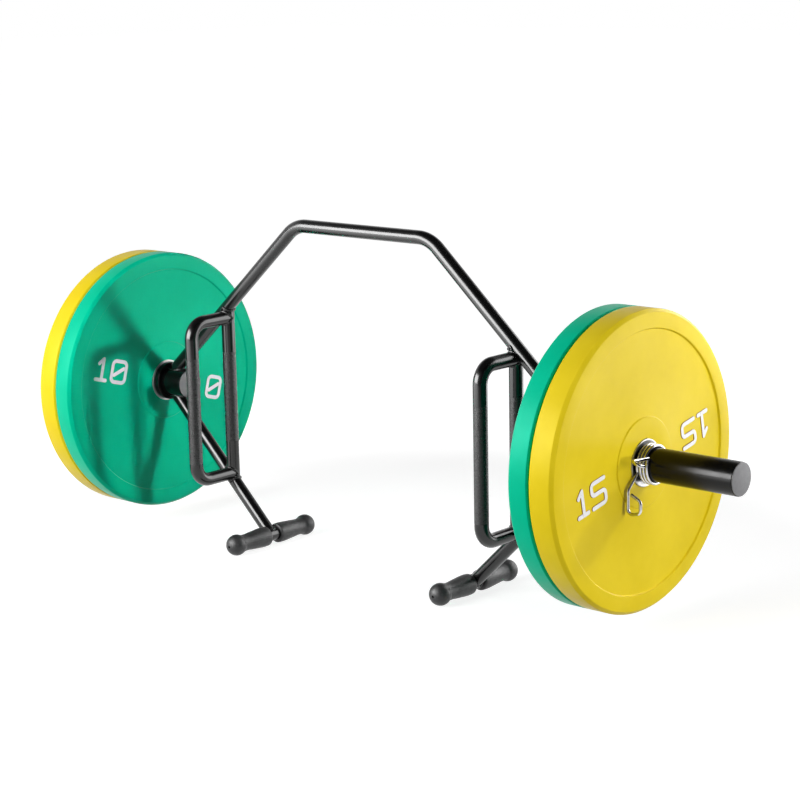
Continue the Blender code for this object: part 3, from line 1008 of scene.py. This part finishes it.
def make_plate(label, side, number, look, slot, figure_looks):
    """A plate with its numerals on both faces, which turn together, and the steel ring in its hub."""
    plate, ring = f"plate_{number}_{label}", f"plate_ring_{number}_{label}"
    inner, outer = span(plate)
    low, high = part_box(plate)
    radius = (high.y - low.y) / 2
    middle = (inner + outer) / 2
    # The two plates of a side lie face to face, where their edges are sharper.
    chamfers = (PLATE_CHAMFER, PLATE_CHAMFER_BETWEEN)
    if number == "15":
        chamfers = (PLATE_CHAMFER_BETWEEN, PLATE_CHAMFER)
    profile = rounded(plate_profile(inner, outer, radius, *chamfers), PLATE_EDGE)
    turned_piece(plate, profile, side, PLATE_SIDES, look, plate, slot, middle)

    hub = (side * middle, 0, AXLE)
    webs = {"inner": inner + RECESS_DEPTH, "outer": outer - RECESS_DEPTH}
    for place, facing in (("inner", -side), ("outer", side)):
        # Seen from outside a face, the other face's figures turn the other way.
        turn = facing * PLATE_TURN[label]
        name = f"numeral_{number}_{place}_{label}"
        make_numeral(name, number, side * webs[place], facing, turn, figure_looks, plate, slot, hub)

    inner, outer = span(ring)
    lip = RING_R - RING_LIP
    profile = [
        (inner + RING_DISH, RING_BORE),
        (inner, lip),
        (inner, RING_R),
        (outer, RING_R),
        (outer, lip),
        (outer - RING_DISH, RING_BORE),
    ]
    profile = rounded(profile, RING_EDGE)
    turned_piece(ring, profile, side, ROUND_SIDES, STEEL, f"ring_{number}_{label}", "hub_steel", middle)


# Spring collars

def collar_path(start, pitch):
    """The wire of a collar on the right: lower lever, coil, front lever. Heights count from the axle."""
    radius = SLEEVE_R + COIL_GAP + WIRE / 2
    low_angle, high_angle = math.radians(LOW_LEVER_TURN), math.radians(FRONT_LEVER_TURN)
    sweep = COIL_TURNS * math.tau + high_angle - low_angle
    end = start + pitch * sweep / math.tau
    steps = round(COIL_POINTS * sweep / math.tau)
    coil = []
    for step in range(steps + 1):
        turned = sweep * step / steps
        angle = low_angle + turned
        across, up = -radius * math.cos(angle), radius * math.sin(angle)
        coil.append(Vector((start + pitch * turned / math.tau, across, up)))

    low_y, low_far = -radius - LOW_LEVER_OUT, start + LOW_LEVER_WIDTH
    low = [
        Vector((start + pitch, low_y, -LOW_LEVER_TIP)),
        Vector((low_far, low_y, -LOW_LEVER_HOOK)),
        Vector((low_far, low_y, WIRE - LOW_LEVER_LENGTH)),
        Vector((start, low_y, -LOW_LEVER_LENGTH)),
        Vector((start, low_y, -LOW_LEVER_KNEE)),
        coil[0],
    ]
    front_y = -radius - FRONT_LEVER_OUT
    near = end - FRONT_LEVER_BEFORE * FRONT_LEVER_WIDTH
    far = end + FRONT_LEVER_PAST * FRONT_LEVER_WIDTH
    knee, elbow, wrist = (coil[-1].z + share * WIRE for share in FRONT_LEVER_HEIGHTS)
    front = [
        coil[-1],
        Vector((near, front_y, knee)),
        Vector((far, front_y, elbow)),
        Vector((far, front_y + FRONT_LEVER_TAIL, wrist)),
        Vector((near + pitch, front_y + 1.5 * FRONT_LEVER_TAIL, coil[-1].z - pitch)),
    ]
    lower = bent_path(low, LOW_LEVER_BEND, LEVER_BEND_STEPS)
    upper = bent_path(front, FRONT_LEVER_BEND, LEVER_BEND_STEPS)
    return lower[:-1] + coil + upper[1:]


def make_collars():
    """Both collars are one part: the left one is the right one turned half round the vertical."""
    for label, side in SIDES.items():
        node = f"spring_collar_{label}"
        start = span(node)[0] + WIRE / 2
        path = [
            Vector((side * place.x, side * place.y, AXLE + place.z))
            for place in collar_path(start, WIRE + WIRE_GAP)
        ]
        points, faces = skin(tube_rings(path, WIRE / 2, WIRE_SIDES))
        origin = (side * start, 0, AXLE)
        dress(node, points, faces, [CHROME], f"collar_{label}", "chrome_wire", origin=origin)


# Stage

def aimed(place, target):
    return (Vector(target) - Vector(place)).to_track_quat("-Z", "Y").to_euler()


def lamp(name, place, target, width, height, power, beam, card):
    """An area lamp that only lights surfaces or, as a card, is only seen in reflections."""
    light = bpy.data.lights.new(name, "AREA")
    light.shape = "RECTANGLE"
    light.size = width
    light.size_y = height
    light.energy = power
    light.spread = math.radians(beam)
    obj = bpy.data.objects.new(name, light)
    obj.location = place
    obj.rotation_euler = aimed(place, target)
    obj.visible_camera = False
    obj.visible_diffuse = not card
    obj.visible_glossy = card
    bpy.context.scene.collection.objects.link(obj)


def make_camera():
    yaw, pitch = -CAMERA_TURN, CAMERA_TILT
    ahead = Vector((math.sin(yaw) * math.cos(pitch), math.cos(yaw) * math.cos(pitch), math.sin(pitch)))
    right = Vector((math.cos(yaw), -math.sin(yaw), 0))
    up = right.cross(ahead)
    cosine, sine = math.cos(CAMERA_ROLL), math.sin(CAMERA_ROLL)
    right, up = right * cosine + up * sine, up * cosine - right * sine
    data = bpy.data.cameras.new("camera")
    data.sensor_width = CAMERA_SENSOR
    data.lens = CAMERA_LENS
    data.clip_end = CAMERA_REACH
    obj = bpy.data.objects.new("camera", data)
    matrix = Matrix((right, up, -ahead)).transposed().to_4x4()
    matrix.translation = CAMERA_PLACE
    obj.matrix_world = matrix
    bpy.context.scene.collection.objects.link(obj)
    bpy.context.scene.camera = obj


class Light:
    """Maths on the numbers of a floor or world, among its own nodes."""

    def __init__(self, tree):
        self.tree = tree
        self.path = tree.nodes.new("ShaderNodeLightPath").outputs
        self.place = tree.nodes.new("ShaderNodeTexCoord").outputs

    def combine(self, operation, first, second):
        """Two numbers or nodes' values as one."""
        made = self.tree.nodes.new("ShaderNodeMath")
        made.operation = operation
        for socket, value in zip(made.inputs, (first, second)):
            if isinstance(value, (int, float)):
                socket.default_value = value
            else:
                self.tree.links.new(value, socket)
        return made.outputs[0]

    def along(self, place, direction):
        """How far a place or a direction lies along a direction."""
        made = self.tree.nodes.new("ShaderNodeVectorMath")
        made.operation = "DOT_PRODUCT"
        self.tree.links.new(place, made.inputs[0])
        made.inputs[1].default_value = direction
        return made.outputs["Value"]

    def reach(self, place):
        """Distance from the middle of the stage."""
        made = self.tree.nodes.new("ShaderNodeVectorMath")
        made.operation = "LENGTH"
        self.tree.links.new(place, made.inputs[0])
        return made.outputs["Value"]

    def seen(self):
        """1 where the camera looks, itself or through glass."""
        return self.combine("MAXIMUM", self.path["Is Camera Ray"], self.path["Is Transmission Ray"])

    def mirrored(self, first, second):
        """The product of two levels where a reflection looks, and 0 elsewhere."""
        level = self.combine("MULTIPLY", first, second)
        return self.combine("MULTIPLY", self.path["Is Glossy Ray"], level)

    def fade(self, value, low, high, at_low, at_high):
        """A smooth step between two levels."""
        made = self.tree.nodes.new("ShaderNodeMapRange")
        made.interpolation_type = "SMOOTHSTEP"
        limits = {"From Min": low, "From Max": high, "To Min": at_low, "To Max": at_high}
        for key, number in limits.items():
            made.inputs[key].default_value = number
        self.tree.links.new(value, made.inputs["Value"])
        return made.outputs["Result"]


def heading(turn):
    """A level direction by its turn from +X in degrees."""
    return (math.cos(math.radians(turn)), math.sin(math.radians(turn)), 0)


def make_floor():
    """A pale floor that keeps the object's shadow. Reflections see light and dark patches of it."""
    shape = bmesh.new()
    bmesh.ops.create_grid(shape, x_segments=2, y_segments=2, size=FLOOR_HALF)
    mesh = bpy.data.meshes.new("floor")
    shape.to_mesh(mesh)
    shape.free()
    floor = bpy.data.objects.new("floor", mesh)
    floor.location.z = -FLOOR_DROP
    bpy.context.scene.collection.objects.link(floor)
    look = bpy.data.materials.new("floor_white")
    look.use_nodes = True
    tree = look.node_tree
    bsdf = tree.nodes["Principled BSDF"]
    bsdf.inputs["Base Color"].default_value = (FLOOR_GREY, FLOOR_GREY, FLOOR_GREY, 1)
    bsdf.inputs["Roughness"].default_value = FLOOR_ROUGHNESS
    bsdf.inputs["Specular IOR Level"].default_value = 0.0
    bsdf.inputs["Emission Color"].default_value = (1, 1, 1, 1)
    light = Light(tree)
    place = light.place["Object"]
    shade = light.fade(light.reach(place), *SHADOW_REACH, SHADOW_GLOW, 1)
    dark = light.fade(light.along(place, heading(DARK_TURN)), *DARK_REACH, FLOOR_GLOW, DARK_GLOW)
    patch = light.fade(light.along(place, heading(PATCH_TURN)), *PATCH_REACH, 1, FLOOR_PATCH)
    seen = light.combine("MULTIPLY", light.seen(), shade)
    strength = light.combine("MAXIMUM", seen, light.mirrored(dark, patch))
    tree.links.new(strength, bsdf.inputs["Emission Strength"])
    mesh.materials.append(look)


def make_world():
    """White where the camera looks. Reflections see a white horizon, a dim ceiling and one dark side."""
    world = bpy.data.worlds.new("studio")
    bpy.context.scene.world = world
    world.use_nodes = True
    tree = world.node_tree
    background = tree.nodes["Background"]
    background.inputs["Color"].default_value = (1, 1, 1, 1)
    light = Light(tree)
    direction = light.place["Generated"]
    height = light.fade(light.along(direction, (0, 0, 1)), *CEILING_RISE, HORIZON, CEILING)
    side = light.fade(light.along(direction, heading(DARK_TURN)), *DARK_LEAN, 1, DARK_GLOW)
    soft = light.combine("MULTIPLY", light.path["Is Diffuse Ray"], AMBIENT)
    total = light.combine("ADD", light.combine("ADD", light.seen(), light.mirrored(height, side)), soft)
    tree.links.new(total, background.inputs["Strength"])


def make_stage():
    scene = bpy.context.scene
    scene.view_settings.view_transform = "Standard"
    make_world()
    make_floor()
    for name, settings in SOFT_LAMPS.items():
        lamp(name, *settings, card=False)
    for name, settings in CARDS.items():
        lamp(name, *settings, card=True)


make_camera()
make_stage()
make_frame()
make_feet()
make_sleeves()
make_plates()
make_collars()
